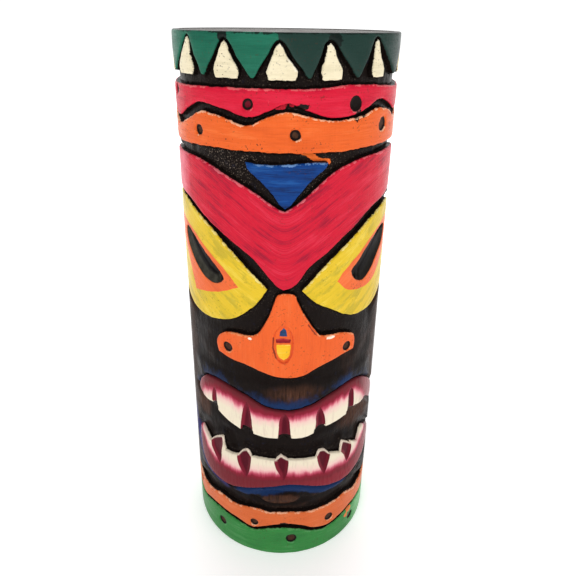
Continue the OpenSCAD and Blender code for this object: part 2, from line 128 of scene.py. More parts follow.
def outlines(name, step=0.55):
    """Loops of [s, z] round a node's outer faces, with the face on the left of each."""
    bm = bmesh.new()
    bm.from_mesh(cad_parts[name].data)
    bmesh.ops.remove_doubles(bm, verts=bm.verts, dist=0.004 * MM)
    bm.normal_update()
    reach = {v: math.hypot(v.co.x, v.co.y) / MM for v in bm.verts}
    outer = max(reach.values()) - 0.05
    top = {}  # kept in the order of the faces, so that every run is the same
    for face in bm.faces:
        middle = face.calc_center_median()
        outward = Vector((middle.x, middle.y, 0)).normalized()
        if min(reach[v] for v in face.verts) > outer and face.normal.dot(outward) > 0.5:
            top[face] = True
    follow = {}
    for face in top:
        for corner in face.loops:
            if sum(other in top for other in corner.edge.link_faces) == 1:
                follow[corner.vert] = corner.link_loop_next.vert
    loops = []
    ring = []
    while follow:
        start, vert = follow.popitem()
        chain = [start]
        while vert in follow:
            chain.append(vert)
            vert = follow.pop(vert)
        s = np.array([RADIUS * math.atan2(v.co.x, -v.co.y) for v in chain])
        z = np.array([v.co.z / MM for v in chain])
        s = np.unwrap(s, period=TURN)
        loop = np.stack([s, z], 1)
        if abs(abs(s[-1] - s[0]) - TURN) < TURN / 4 and len(chain) > 8:
            ring.append(loop)
        elif len(chain) > 2:
            loops.append(smooth_loop(loop, step))
    bm.free()
    if ring:
        loops.append(open_ring(ring, step))
    return loops, bool(ring)


def open_ring(ring, step):
    """One closed loop round a band that is cut open behind, from its low and its high edge."""
    edges = []
    for loop in ring:
        s = (loop[:, 0] + TURN / 2) % TURN - TURN / 2
        order = np.argsort(s)
        s, z = s[order], loop[order, 1]
        s = np.concatenate([[s[-1] - TURN], s, [s[0] + TURN]])
        z = np.concatenate([[z[-1]], z, [z[0]]])
        finer = [np.linspace(a, b, max(1, round(math.hypot(b - a, d - c) / step)), endpoint=False)
                 for a, b, c, d in zip(s, s[1:], z, z[1:])]
        knots = np.concatenate(finer)
        knots = knots[(knots > -TURN / 2 + 0.1) & (knots < TURN / 2 - 0.1)]
        knots = np.concatenate([[-TURN / 2], knots, [TURN / 2]])
        edges.append(np.stack([knots, np.interp(knots, s, z)], 1))
    low, high = sorted(edges, key=lambda e: e[:, 1].mean())
    steps = max(2, round((high[0, 1] - low[0, 1]) / step))
    rise = np.linspace(low[0, 1], high[0, 1], steps + 1)[1:-1]
    right = np.stack([np.full(len(rise), TURN / 2), rise], 1)
    left = np.stack([np.full(len(rise), -TURN / 2), rise[::-1]], 1)
    return np.concatenate([low, right, high[::-1], left])


def by_hand(points, ragged):
    """Points of an outline moved a little, as a knife moves. The ends of the log stay flat."""
    s, z = points[:, 0], points[:, 1]
    free = smooth(0.05, 1.5, z) * smooth(0.05, 1.5, HEIGHT - z)
    seam = smooth(0, 1, TURN / 2 - np.abs(s))

    def wander(seed):
        slow = 0.16 * noise(s, z, 6, 6, seed) + 0.08 * noise(s, z, 2, 2, seed + 1)
        return slow + ragged * noise(s, z, 0.9, 0.9, seed + 2)

    return np.stack([s + wander(11) * seam * free, z + wander(14) * free], 1)


def inside(points, a, b):
    """Which points lie inside the closed chains of edges from a to b, by the even-odd rule."""
    hit = np.zeros(len(points), bool)
    slope = (b[:, 0] - a[:, 0]) / np.where(b[:, 1] == a[:, 1], 1e-9, b[:, 1] - a[:, 1])
    for k in range(0, len(points), 2000):
        x, z = points[k : k + 2000, :1], points[k : k + 2000, 1:]
        crosses = ((a[:, 1] > z) != (b[:, 1] > z)) & (x < slope * (z - a[:, 1]) + a[:, 0])
        hit[k : k + 2000] = crosses.sum(1) % 2 == 1
    return hit


class Rim:
    """Dense points along free edges, to ask how far a place is from the nearest."""

    def __init__(self, loops, ring=False):
        samples, normals = [], []
        for loop in loops:
            ahead = np.roll(loop, -1, 0) - loop
            long = np.linalg.norm(ahead, axis=1)
            keep = long > 1e-6
            if ring:
                on_seam = at_seam(loop)
                keep &= ~(on_seam & np.roll(on_seam, -1))
            for p, d, n in zip(loop[keep], ahead[keep], long[keep]):
                steps = max(1, round(n / SAMPLE))
                for k in range(steps):
                    samples.append(p + d * (k / steps))
                    normals.append((-d[1] / n, d[0] / n))
        self.points = np.array(samples).reshape(-1, 2)
        self.inward = np.array(normals).reshape(-1, 2)
        self.index()

    @classmethod
    def joined(cls, parts):
        """One rim from several pairs of (points, inward)."""
        rim = cls([])
        rim.points, rim.inward = (np.concatenate(part) for part in zip(*parts))
        rim.index()
        return rim

    def index(self):
        """Sorts the points for asking, with those near the seam on both sides of it."""
        around = [(self.points, self.inward)]
        for turn in (-TURN, TURN):
            near = np.abs(self.points[:, 0] + turn) < TURN / 2 + 15
            around.append((self.points[near] + [turn, 0], self.inward[near]))
        self.points = np.concatenate([a for a, _ in around])
        self.inward = np.concatenate([b for _, b in around])
        self.tree = KDTree(len(self.points))
        for k, (s, z) in enumerate(self.points.tolist()):
            self.tree.insert((s, z, 0), k)
        self.tree.balance()

    def ask(self, s, z):
        """The distance to the rim, and the rim's inward direction there."""
        found = [self.tree.find((a, b, 0)) for a, b in zip(s.tolist(), z.tolist())]
        index = np.array([f[1] for f in found])
        return np.array([f[2] for f in found]), self.inward[index]


# ---- meshes ----
def triangles_in(points, edges, limits):
    """Triangles over points that follow the edges, kept inside the limits, with the points used."""
    verts, _, faces, _, _, _ = delaunay_2d_cdt([Vector(p) for p in points.tolist()], edges, [], 0, 1e-5)
    verts = np.array([tuple(v) for v in verts])
    faces = np.array([f for f in faces if len(f) == 3])
    middle = verts[faces].mean(1)
    faces = faces[inside(middle, points[limits[:, 0]], points[limits[:, 1]])]
    p, q, r = (verts[faces[:, k]] for k in range(3))
    turned = (q[:, 0] - p[:, 0]) * (r[:, 1] - p[:, 1]) - (q[:, 1] - p[:, 1]) * (r[:, 0] - p[:, 0]) < 0
    faces[turned] = faces[turned][:, ::-1]
    return verts, faces


def free_edges(faces):
    """Edges with a face on one side only, in the direction that keeps it on the left."""
    pairs = np.concatenate([faces[:, [0, 1]], faces[:, [1, 2]], faces[:, [2, 0]]])
    known = set(map(tuple, pairs.tolist()))
    return np.array([p for p in pairs.tolist() if (p[1], p[0]) not in known])


def in_scene(name, data):
    """A new object in the scene."""
    thing = bpy.data.objects.new(name, data)
    bpy.context.scene.collection.objects.link(thing)
    return thing


def make_object(name, points, faces, values, weld=False, sharp=48):
    """A smooth-shaded mesh with its per-point values, as a new object."""
    mesh = bpy.data.meshes.new(name)
    mesh.from_pydata(points.tolist(), [], faces)
    for key, value in values.items():
        flat = np.asarray(value, np.float32)
        kind, part = ("FLOAT_VECTOR", "vector") if flat.ndim == 2 else ("FLOAT", "value")
        mesh.attributes.new(key, kind, "POINT").data.foreach_set(part, flat.ravel())
    bm = bmesh.new()
    bm.from_mesh(mesh)
    if weld:
        bmesh.ops.remove_doubles(bm, verts=bm.verts, dist=0.0005 * MM)
    bmesh.ops.recalc_face_normals(bm, faces=bm.faces)
    bm.to_mesh(mesh)
    bm.free()
    mesh.shade_smooth()
    mesh.set_sharp_from_angle(angle=math.radians(sharp))
    mesh.update()
    return in_scene(name, mesh)


ROWS = (0.16, 0.38, 0.7)  # rows of points just inside an edge, which round it off
CLEAR = 1.0  # how far the grid of a land stays off its edge
PITCH = 0.87  # from one row of the grid to the next, in spacings
WALL = ((0.4, 0.03), (1.0, 0.14), (None, 0.28))  # rows down a wall: depth, flare; None is the foot
ALL_RIMS = []  # (points, inward) of every land, for the ground between them
ALL_EDGES = []  # and the ends of its edges, to tell what lies under it


def edge_roll(d, width, depth):
    """How far a rounded edge falls at a distance d from it."""
    t = 1 - np.clip(d / width, 0, 1)
    return depth * (1 - np.sqrt(1 - t * t))


def uneven(at):
    """The shallow facets that a knife leaves on a land."""
    wide = 0.05 * (1 + noise(at.s, at.z, 9, 11, 21))
    return wide + 0.035 * (1 + noise(at.s, at.z, 3.2, 4.5, 22))


def carved_top(at):
    """A flat land with a rounded edge."""
    return RADIUS - edge_roll(at.d, 0.65, 0.35) - edge_roll(at.d, 2.2, 0.12) - uneven(at)


def in_space(s, z, r):
    """Places as [across, up, forward] in millimetres, for the paint's noise."""
    a = s / RADIUS
    return np.stack([r * np.sin(a), z + 0 * a, -r * np.cos(a)], 1)


def round_the_log(at):
    """Brush strokes round the log, as a place in space so that they meet behind."""
    return in_space(at.s, at.z, RADIUS).T


class Place:
    """Points on the log: arc s and level z. On a land they also know their distance d to its free
    edge and the inward direction there."""

    def __init__(self, s, z):
        self.s, self.z = s, z

    def blot(self, s, z, half_width, half_height):
        """1 at the centre of an oval, 0 at its rim and beyond."""
        square = ((self.s - s) / half_width) ** 2 + ((self.z - z) / half_height) ** 2
        return np.clip(1 - square, 0, 1)

    def path(self, corners, width):
        """1 on a path through the given corners, 0 at half its width and beyond."""
        best = np.full(len(self.s), 1e9)
        for (s0, z0), (s1, z1) in zip(corners, corners[1:]):
            s, z, along, up = self.s - s0, self.z - z0, s1 - s0, z1 - z0
            t = np.clip((s * along + z * up) / (along**2 + up**2), 0, 1)
            best = np.minimum(best, np.hypot(s - t * along, z - t * up))
        return np.clip(1 - best / (width / 2), 0, 1)


def land(name, top=carved_top, stroke=round_the_log, spacing=0.8, ragged=0.05, marks=None,
         loops=None, rim=None, floor=ROOT, keep=()):
    """A closed carved piece that follows a node's outline. marks gives extra values for its paint.
    keep holds more loops that the mesh follows without cutting."""
    ring = False
    if loops is None:
        loops, ring = outlines(name)
    loops = [by_hand(loop, ragged) for loop in loops]
    own = Rim(loops, ring)
    ALL_RIMS.append((own.points, own.inward))
    rim = rim or own
    chains = loops + list(keep)
    edge = np.concatenate(chains)
    starts = np.cumsum([0] + [len(c) for c in chains])
    edges = [(int(a + k), int(a + (k + 1) % len(c)))
             for a, c in zip(starts, chains) for k in range(len(c))]
    cut = np.array(edges[: starts[len(loops)]])
    ALL_EDGES.append((edge[cut[:, 0]], edge[cut[:, 1]]))
    points = [edge]
    for row in ROWS:
        for loop in chains:
            ahead = unit(np.roll(loop, -1, 0) - np.roll(loop, 1, 0))
            points.append(loop + row * np.stack([-ahead[:, 1], ahead[:, 0]], 1))
    rows = np.concatenate(points[1:])
    low, high = edge.min(0), edge.max(0)
    columns = np.arange(low[0], high[0], spacing)
    levels = np.arange(low[1], high[1], spacing * PITCH)
    grid_s, grid_z = np.meshgrid(columns, levels)
    grid_s = grid_s + (np.arange(len(levels)) % 2)[:, None] * spacing / 2
    grid = np.stack([grid_s.ravel(), grid_z.ravel()], 1)
    grid = grid[own.ask(*grid.T)[0] > CLEAR]
    rows = rows[own.ask(*rows.T)[0] > 0.92 * np.repeat(ROWS, len(edge))]
    inner = np.concatenate([rows, grid])
    if ring:
        inner = inner[np.abs(inner[:, 0]) < TURN / 2 - 0.25]
    inner = inner[inside(inner, edge[cut[:, 0]], edge[cut[:, 1]])]
    flat, faces = triangles_in(np.concatenate([edge, inner]), edges, cut)

    at = Place(*flat.T)
    at.d, at.inward = rim.ask(at.s, at.z)
    reach = top(at)
    brushed = [*stroke(at), reach * 0][:3]
    values = {
        "roll": in_space(at.s, at.z, reach),
        "stroke": np.stack(brushed, 1),
        "rim": at.d,
        # edges that face up, to the light: the paint puts chips and a painted highlight there
        "upper_edge": smooth(1.1, 0.25, at.d) * smooth(0.2, 0.75, -at.inward[:, 1]),
    }
    values.update(marks(at) if marks else {})

    foot = bound = free_edges(faces)
    if ring:
        on_seam = at_seam(flat)
        bound = foot[~(on_seam[foot[:, 0]] & on_seam[foot[:, 1]])]
    used = np.unique(bound)
    order = {int(v): k for k, v in enumerate(used)}
    ahead = flat[bound[:, 1]] - flat[bound[:, 0]]
    outward = np.zeros((len(flat), 2))
    for column in (0, 1):
        np.add.at(outward, bound[:, column], np.stack([ahead[:, 1], -ahead[:, 0]], 1))
    outward = unit(outward[used])
    if ring:
        outward[on_seam[used]] = np.sign(outward[on_seam[used]]) * [0, 1]
    solid = [on_log(at.s, at.z, reach)]
    extra = {key: [value] for key, value in values.items()}
    for depth, flare in WALL:
        place = flat[used] + outward * flare
        level = np.clip(place[:, 1], 0, HEIGHT)
        r = np.full(len(used), floor) if depth is None else reach[used] - depth
        solid.append(on_log(place[:, 0], level, r))
        for key, value in values.items():
            row = value[used]
            if key == "rim":
                row = row * 0 - (1.9 if depth is None else depth)
            extra[key].append(row)
    total = faces.tolist()
    base = [used] + [len(flat) + k * len(used) + np.arange(len(used)) for k in range(len(WALL))]
    for a, b in bound.tolist():
        i, j = order[a], order[b]
        for upper, lower in zip(base, base[1:]):
            total.append([int(upper[i]), int(lower[i]), int(lower[j]), int(upper[j])])
    verts = np.unique(foot)
    small = {int(v): k for k, v in enumerate(verts)}
    links = [(small[a], small[b]) for a, b in foot.tolist()]
    _, cap = triangles_in(flat[verts], links, np.array(links))
    under = []
    loose = []
    for v in verts.tolist():
        if v in order:
            under.append(int(base[-1][order[v]]))
        else:
            under.append(len(flat) + len(WALL) * len(used) + len(loose))
            loose.append(v)
    if loose:
        solid.append(on_log(flat[loose, 0], flat[loose, 1], np.full(len(loose), floor)))
        for key, value in values.items():
            extra[key].append(value[loose])
    total += [[under[c], under[b], under[a]] for a, b, c in cap.tolist()]
    values = {key: np.concatenate(rows) for key, rows in extra.items()}
    return make_object(name, np.concatenate(solid), total, values, weld=ring)


def finish_piece(piece, slot, material, *nodes):
    """Puts a piece in place: its paint and its body, and hides the nodes it stands for. slot is not
    used.
    """
    piece.data.materials.append(material)
    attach(piece, "root")
    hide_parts(*nodes)


# ---- paints ----
def linear(colour):
    """A colour given as the eye reads it, from 0 to 255, for a shader."""
    parts = [c / 255 for c in colour]
    return *(c / 12.92 if c <= 0.04045 else ((c + 0.055) / 1.055) ** 2.4 for c in parts), 1


BLACK = (25, 19, 17)
BROWN = (72, 46, 34)
DUST = (150, 134, 118)


class Mixer:
    """Short calls for the nodes of one node tree."""

    def __init__(self, tree):
        self.nodes, self.links = tree.nodes, tree.links

    def put(self, socket, value):
        """Links another node's result, or sets a number, a vector or a colour as the eye reads it."""
        if isinstance(value, bpy.types.NodeSocket):
            self.links.new(value, socket)
        else:
            socket.default_value = linear(value) if socket.type == "RGBA" else value

    def node(self, kind, inputs, output=0, **settings):
        """The result of a new node with these inputs and settings."""
        node = self.nodes.new("ShaderNode" + kind)
        for key, value in settings.items():
            setattr(node, key, value)
        for key, value in inputs.items():
            self.put(node.inputs[key], value)
        return node.outputs[output]

    def math(self, operation, *values):
        return self.node("Math", dict(enumerate(values)), operation=operation)

    def step(self, value, low, high, bottom=0.0, top=1.0):
        """Goes softly from bottom to top as the value goes from low to high."""
        inputs = {"Value": value, "From Min": low, "From Max": high, "To Min": bottom, "To Max": top}
        return self.node("MapRange", inputs, "Result", interpolation_type="SMOOTHSTEP")


class Paint(Mixer):
    """A material being mixed, with short calls for the nodes that every paint uses."""

    def __init__(self, name, gloss=0.25, gloss_blur=0.12, bend=1.3):
        self.material = bpy.data.materials.new(name)
        self.material.use_nodes = True
        super().__init__(self.material.node_tree)
        self.shader = self.nodes["Principled BSDF"]
        for key, value in (("Specular IOR Level", 0.02), ("Coat Weight", gloss),
                           ("Coat Roughness", gloss_blur), ("Coat IOR", bend)):
            self.shader.inputs[key].default_value = value

    def vector(self, name):
        return self.node("Attribute", {}, "Vector", attribute_name=name)

    def value(self, name):
        return self.node("Attribute", {}, "Fac", attribute_name=name)

    def noise(self, vector, scale, detail=2.0, rough=0.5):
        return self.node("TexNoise", {"Vector": vector, "Scale": scale, "Detail": detail,
                                      "Roughness": rough}, "Fac")

    def grain(self, vector, along, across, detail, rough=0.5):
        """Noise that is stretched where along or across is small."""
        stretched = {0: vector, 1: (along, across, along)}
        return self.noise(self.node("VectorMath", stretched, operation="MULTIPLY"), 1, detail, rough)

    def add(self, a, b):
        return self.math("ADD", a, b)

    def times(self, a, b):
        return self.math("MULTIPLY", a, b)

    def scaled(self, a, by, plus):
        return self.math("MULTIPLY_ADD", a, by, plus)

    def mix(self, a, b, factor):
        return self.node("Mix", {0: factor, 6: a, 7: b}, 2, data_type="RGBA")

    def coat(self, under, over, value, low, high, most=1.0):
        """A coat of another colour, which grows to its most as the value goes from low to high."""
        return self.mix(under, over, self.step(value, low, high, 0, most))

    def overlay(self, under, over, name, low, high, ragged, scale=1.1):
        """A coat of another colour where a mark on the mesh is strong, with a ragged edge."""
        wander = self.scaled(self.noise(self.vector("roll"), scale, 3), ragged, -ragged / 2)
        return self.coat(under, over, self.add(self.value(name), wander), low, high)

    def done(self, base, rough, height, depth):
        self.put(self.shader.inputs["Base Color"], base)
        self.put(self.shader.inputs["Roughness"], rough)
        bump = self.node("Bump", {"Strength": 1.0, "Distance": depth * MM, "Height": height})
        self.put(self.shader.inputs["Normal"], bump)
        return self.material


def land_paint(name, main, dark, light, streak=0.6, speck=0.5, wrap=0.15, wear_and_highlight=0.7, marks=(),
               across=1.1, chip_and_highlight=None, grime=None, grimy=0.6):
    """Brushed paint on a land: streaks along its strokes, specks, pale chips and a painted highlight
    along its upper edges, and a dark wall.
    """
    p = Paint(name)
    roll, stroke = p.vector("roll"), p.vector("stroke")
    broad = p.grain(stroke, 0.06, across * 0.33, 4, 0.6)
    fine = p.grain(stroke, 0.14, across * 2.4, 3, 0.6)
    patch = p.noise(roll, 0.09, 3)
    tone = p.scaled(broad, 0.5, p.scaled(fine, 0.22, p.times(patch, 0.28)))
    base = p.coat(main, dark, tone, 0.5, 0.4, streak)
    base = p.coat(base, light, tone, 0.52, 0.6, 0.7 * streak)
    hair = p.grain(stroke, 0.1, across * 5, 3, 0.6)
    base = p.coat(base, dark, hair, 0.46, 0.36, 0.55 * streak)
    base = p.coat(base, light, hair, 0.56, 0.66, 0.4 * streak)
    if grime:
        smudge = p.grain(stroke, 0.1, 0.2, 5, 0.65)
        base = p.coat(base, grime, smudge, 0.5, 0.62, grimy)
    for mark in marks:
        base = p.overlay(base, *mark)
    dirt = p.noise(roll, 1.25, 3, 0.6)
    where = p.step(p.noise(roll, 0.11, 2), 0.4, 0.58)
    base = p.mix(base, BROWN, p.times(p.step(dirt, 0.61, 0.66, 0, speck), where))
    # Pale chips along the upper edges, partly real chipped paint and partly painted highlight where the
    # rounded edge faces the light from above; on the crown this is a dark worn rim instead.
    chip = p.noise(roll, 0.27, 6, 0.8)
    edge = p.add(p.value("upper_edge"), p.scaled(chip, 4.5, -2.72))
    base = p.coat(base, chip_and_highlight or light, edge, 0.35, 0.6, wear_and_highlight)
    bite = p.add(p.value("rim"), p.scaled(p.noise(roll, 0.9, 4, 0.7), 1.3, -0.65))
    base = p.coat(base, BLACK, bite, 0.1 - wrap, -0.06 - wrap)
    grain = p.grain(roll, 1.5, 0.1, 3, 0.6)
    height = p.scaled(fine, 0.7, p.scaled(grain, 0.5, p.times(dirt, 0.35)))
    return p.done(base, p.step(tone, 0.3, 0.7, 0.42, 0.26), height, 0.25)


def spot_paint(name):
    """A dark ring of ink round a brown middle."""
    p = Paint(name, 0.12)
    roll = p.vector("roll")
    cloud = p.noise(roll, 1.2, 3)
    edge = p.scaled(cloud, 0.6, p.value("rim"))
    middle = p.mix((40, 24, 20), (92, 60, 42), cloud)
    middle = p.mix(middle, (112, 18, 36), p.value("reddish"))
    middle = p.mix(middle, BLACK, p.value("solid"))
    base = p.coat(BLACK, middle, edge, 0.8, 1.2, 0.85)
    return p.done(base, 0.4, cloud, 0.12)


def pupil_paint(name):
    """Black lacquer in the gouged pupil, with a painted highlight: grey on the slope that faces the
    light.
    """
    p = Paint(name, 0.16, 0.1)
    roll = p.vector("roll")
    cloud = p.noise(roll, 0.5, 3)
    grey = p.times(p.value("slope"), p.step(cloud, 0.3, 0.7, 0.5, 1))
    base = p.mix((20, 17, 17), (66, 64, 56), grey)
    return p.done(base, 0.3, p.grain(roll, 1, 0.3, 3), 0.15)


# The mouth's run of paint: the colour, and where it starts and is full, in mm from gum into tooth
GUM_TO_TOOTH = (((132, 34, 50), -3.6, -0.9), ((188, 72, 96), -1.2, 0.6), ((230, 158, 164), 0.1, 2.0),
                ((236, 204, 192), 1.2, 3.2), ((234, 222, 198), 2.6, 6.0))


def mouth_paint(name):
    """Gum and teeth in one run of paint: maroon, then pink, then cream, with gouged maroon gaps whose
    left walls are painted lighter as lit and whose depths are painted darker as shade.
    """
    p = Paint(name, 0.14, 0.1, 1.2)
    roll = p.vector("roll")
    brush = p.grain(roll, 1.0, 0.14, 3, 0.55)
    broad = p.grain(roll, 0.28, 0.14, 2)
    into = p.add(p.value("into"), p.scaled(brush, 2.4, -1.2))
    into = p.add(into, p.scaled(broad, 2.4, -1.2))
    base = (104, 38, 44)
    for paint, low, high in GUM_TO_TOOTH:
        base = p.coat(base, paint, into, low, high)
    streak = p.times(p.step(brush, 0.54, 0.68, 0, 0.4), p.step(into, 0.8, 2.6))
    base = p.mix(base, (212, 190, 172), streak)
    ends = p.add(p.value("faded"), p.scaled(broad, 0.3, -0.15))
    base = p.coat(base, (176, 104, 110), ends, 0.2, 0.9, 0.5)
    base = p.coat(base, (62, 58, 110), p.value("purple"), 0.15, 0.9, 0.8)
    deep = p.times(p.value("lip_tone"), p.step(into, -2.0, -4.5))
    base = p.mix(base, (140, 42, 54), deep)
    gap = p.value("gap")
    # Painted light and shade in the gouged gaps: the left wall lighter, as lit from the left, and the
    # deep middle darker, as shaded.
    shade = p.mix((102, 24, 38), (124, 34, 50), p.value("gap_left"))
    shade = p.coat(shade, (84, 18, 32), gap, 0.7, 1.6)
    base = p.coat(base, shade, gap, -0.12, 0.06)
    base = p.mix(base, (244, 226, 206), p.value("lip_edge"))
    cloud = p.scaled(p.noise(roll, 0.9, 3), 0.5, -0.25)
    base = p.coat(base, BLACK, p.add(p.value("rim"), cloud), -0.45, -0.75)
    return p.done(base, p.step(brush, 0.3, 0.7, 0.34, 0.22), p.scaled(brush, 0.6, broad), 0.12)


def ground_paint(name):
    """The black-brown stain of the carved ground, with airbrushed blue, dust and runs of paint, and
    brown patches that are partly worn stain and partly painted sheen.
    """
    p = Paint(name, 0.32, 0.2, 1.12)
    roll = p.vector("roll")
    grain = p.grain(roll, 1.3, 0.12, 4, 0.65)
    cloud = p.grain(roll, 0.12, 0.09, 4, 0.6)
    cut = p.grain(roll, 0.5, 0.35, 3, 0.6)
    # Brown patches, partly worn stain and partly painted sheen, with paler grain streaks inside them.
    brown_and_sheen = p.add(p.value("brown_and_sheen"), p.scaled(cloud, 0.9, -0.62))
    base = p.coat(BLACK, BROWN, brown_and_sheen, 0.0, 0.75)
    base = p.coat(base, (19, 14, 12), grain, 0.5, 0.36, 0.6)
    pale_grain = p.times(p.step(grain, 0.56, 0.7, 0, 0.55), p.step(brown_and_sheen, 0.1, 0.7))
    base = p.mix(base, (98, 66, 50), pale_grain)
    specks = p.noise(roll, 1.9, 3, 0.7)
    base = p.mix(base, DUST, p.times(p.step(specks, 0.56, 0.68, 0, 0.7), p.value("dust")))
    blue = p.add(p.value("blue"), p.scaled(cut, 1.1, -0.62))
    base = p.coat(base, (26, 50, 92), blue, 0.0, 0.85, 0.9)
    base = p.coat(base, (66, 62, 118), p.value("purple"), 0.1, 0.9, 0.85)
    base = p.overlay(base, (238, 112, 48), "orange_run", 0.25, 0.4, 0.7, 0.9)
    base = p.overlay(base, (222, 44, 62), "red_run", 0.45, 0.6, 0.9, 0.7)
    base = p.mix(base, p.mix((58, 50, 44), (92, 84, 74), grain), p.step(p.value("end"), 0.3, 0.8))
    height = p.scaled(grain, 0.8, p.scaled(cut, 0.8, p.times(specks, 0.3)))
    return p.done(base, p.step(cloud, 0.35, 0.7, 0.5, 0.3), height, 0.35)


PAINTS = {
    "crown": land_paint("crown_green", (32, 100, 78), (28, 80, 66), (46, 120, 96), 0.45,
                        chip_and_highlight=(22, 34, 30), wear_and_highlight=0.9, speck=0.3,
                        marks=[((34, 56, 50), "shade", 0.35, 0.6, 0.35, 0.25),
                               ((20, 30, 27), "smudge", 0.2, 0.4, 0.7)]),
    "cream": land_paint("cream_paint", (232, 220, 188), (208, 196, 160), (242, 236, 214), 0.4,
                        speck=0.8, wrap=0.05),
    "red": land_paint("red_paint", (206, 28, 54), (170, 22, 50), (222, 50, 76), 0.45, wear_and_highlight=0.5,
                      chip_and_highlight=(236, 130, 130), marks=[(BLACK, "nick", 0.2, 0.35, 0.9)]),
    "brow": land_paint("brow_red", (204, 28, 52), (120, 20, 48), (222, 60, 84), 0.65, speck=0.3,
                       wear_and_highlight=0.55, chip_and_highlight=(238, 130, 138),
                       # a painted highlight: the brow's left end paler, as glare
                       marks=[((226, 96, 116), "pale", 0.4, 1.2, 0.7, 0.3)]),
    "orange": land_paint("orange_paint", (226, 98, 40), (206, 84, 34), (240, 132, 70), 0.5,
                         speck=0.9, chip_and_highlight=(252, 208, 170), marks=[(BLACK, "nick", 0.2, 0.35, 0.9)]),
    "chin": land_paint("chin_orange", (218, 106, 55), (206, 92, 46), (240, 140, 90), 0.4,
                       chip_and_highlight=(250, 196, 160), marks=[(BLACK, "nick", 0.3, 0.45, 0.8)]),
    "nose": land_paint("nose_orange", (230, 98, 44), (212, 84, 40), (238, 124, 70), 0.4,
                       speck=0.6, chip_and_highlight=(244, 160, 110),
                       marks=[((252, 226, 206), "chip", 0.3, 0.5, 0.7),
                              ((206, 62, 40), "red_line", 0.4, 1.4, 1.1),
                              ((130, 50, 32), "nick", 0.3, 0.7, 0.7)]),
    "iris": land_paint("iris_orange", (234, 108, 56), (206, 84, 46), (242, 136, 84), 0.5,
                       speck=0.5, wrap=0.8, wear_and_highlight=0.3),
    "yellow": land_paint("yellow_paint", (222, 187, 46), (196, 170, 40), (238, 216, 96), 0.6,
                         speck=0.35, across=0.7, wear_and_highlight=0.5, chip_and_highlight=(248, 240, 170),
                         grime=(166, 150, 50), grimy=0.5),
    "blue": land_paint("blue_paint", (12, 58, 124), (16, 30, 66), (36, 92, 160), 0.8, speck=0.3,
                       chip_and_highlight=(120, 160, 210)),
    "leaf": land_paint("leaf_green_paint", (54, 134, 64), (44, 112, 56), (92, 160, 98), 0.45,
                       marks=[((104, 180, 112), "pale", 0.3, 0.9, 0.4, 0.3),
                              ((232, 118, 54), "smear", 0.3, 0.45, 0.6)]),
    "mark_red": land_paint("mark_red", (150, 30, 38), (110, 20, 30), (190, 60, 60), 0.7, wrap=2),
    "mark_yellow": land_paint("mark_yellow", (240, 188, 40), (220, 156, 30), (246, 212, 100), 0.6,
                              wrap=2),
    "mark_blue": land_paint("mark_blue", (40, 74, 118), (26, 44, 80), (80, 116, 156), 0.7, wrap=2),
    "spot": spot_paint("spot_ink"),
    "pupil": pupil_paint("pupil_black"),
    "gum": mouth_paint("gum_maroon"),
    "tooth": mouth_paint("tooth_ivory"),
    "ground": ground_paint("ground_stain"),
}


def carve(name, slot, paint, **how):
    """One land, carved after its node, painted and put in the frame."""
    finish_piece(land(name, **how), slot, PAINTS[paint], name)


# ---- crown ----
def crown_marks(at):
    bright = smooth(-1.6, -2.6, at.s + 0.1 * (at.z - 200)) * smooth(-60, -50, at.s)
    behind = smooth(52, 60, np.abs(at.s)) * (0.5 + 0.9 * noise(at.s, at.z, 26, 40, 31))
    low = 0.45 * smooth(197, 190, at.z) * smooth(44, 38, at.s)
    shade = np.clip(1 - bright - behind - low, 0, 1)
    smudge = np.maximum(at.blot(-19, 201.8, 1.9, 3), at.blot(14, 201, 2.6, 2.6))
    return {"shade": shade, "smudge": smudge}


carve("crown_band", "crown_green", "crown", spacing=0.9, marks=crown_marks)
TEETH_ROUND = sum(name.startswith("crown_tooth_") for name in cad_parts)
for number in range(1, TEETH_ROUND + 1):
    carve(f"crown_tooth_{number}", "cream_paint", "cream", ragged=0.12, spacing=0.7)


# ---- bands ----
def nicks(*places):
    """Marks of small dark nicks, each given as in Place.blot."""
    def marks(at):
        return {"nick": np.maximum.reduce([at.blot(*place) for place in places])}
    return marks


def base_marks(at):
    smear = np.maximum(at.blot(33.5, 11, 2.2, 2.2), 0.8 * at.blot(31.5, 8.6, 1.6, 1.6))
    return {"pale": smooth(20, 50, at.s) * smooth(75, 60, at.s), "smear": smear}


def spot_marks(at):
    """The red band's spots: one is solid black, and its neighbour shows red in the middle."""
    high = smooth(180.6, 181.4, at.z)
    return {"solid": high * smooth(14, 16, at.s) * smooth(40, 36, at.s),
            "reddish": high * smooth(-4, -6, at.s) * smooth(-20, -16, at.s)}


def spot_top(at):
    return RADIUS - 0.42 - 0.35 * smooth(0, 1.0, at.d) - 0.5 * uneven(at)


BANDS = (  # node, slot, paint, marks, the node of its spots, how ragged its edge is
    ("red_wave_band", "red_paint", "red",
     nicks((5, 183.2, 2.4, 1), (0.8, 183.6, 1.3, 0.7), (23.4, 181, 1.2, 1.5)), "red_band_spots", 0.1),
    ("orange_wave_band", "orange_paint", "orange",
     nicks((23, 179.6, 1.0, 1.7), (25.5, 179.9, 1.2, 0.8)), "orange_band_spots", 0.16),
    ("chin_band", "orange_paint", "chin", nicks((1, 17.4, 2.2, 0.6)), "chin_band_spots", 0.06),
    ("base_band", "leaf_green_paint", "leaf", base_marks, "base_band_spots", 0.06),
)
for name, slot, paint, marks, spots, ragged in BANDS:
    carve(name, slot, paint, marks=marks, ragged=ragged)
    carve(spots, "dark_wood", "spot", top=spot_top, marks=spot_marks, spacing=0.45, ragged=0.03)


# ---- forehead ----
def brow_stroke(at):
    side = np.sqrt(at.s**2 + 9)
    return side, at.z - 27 * np.tanh(side / 32)


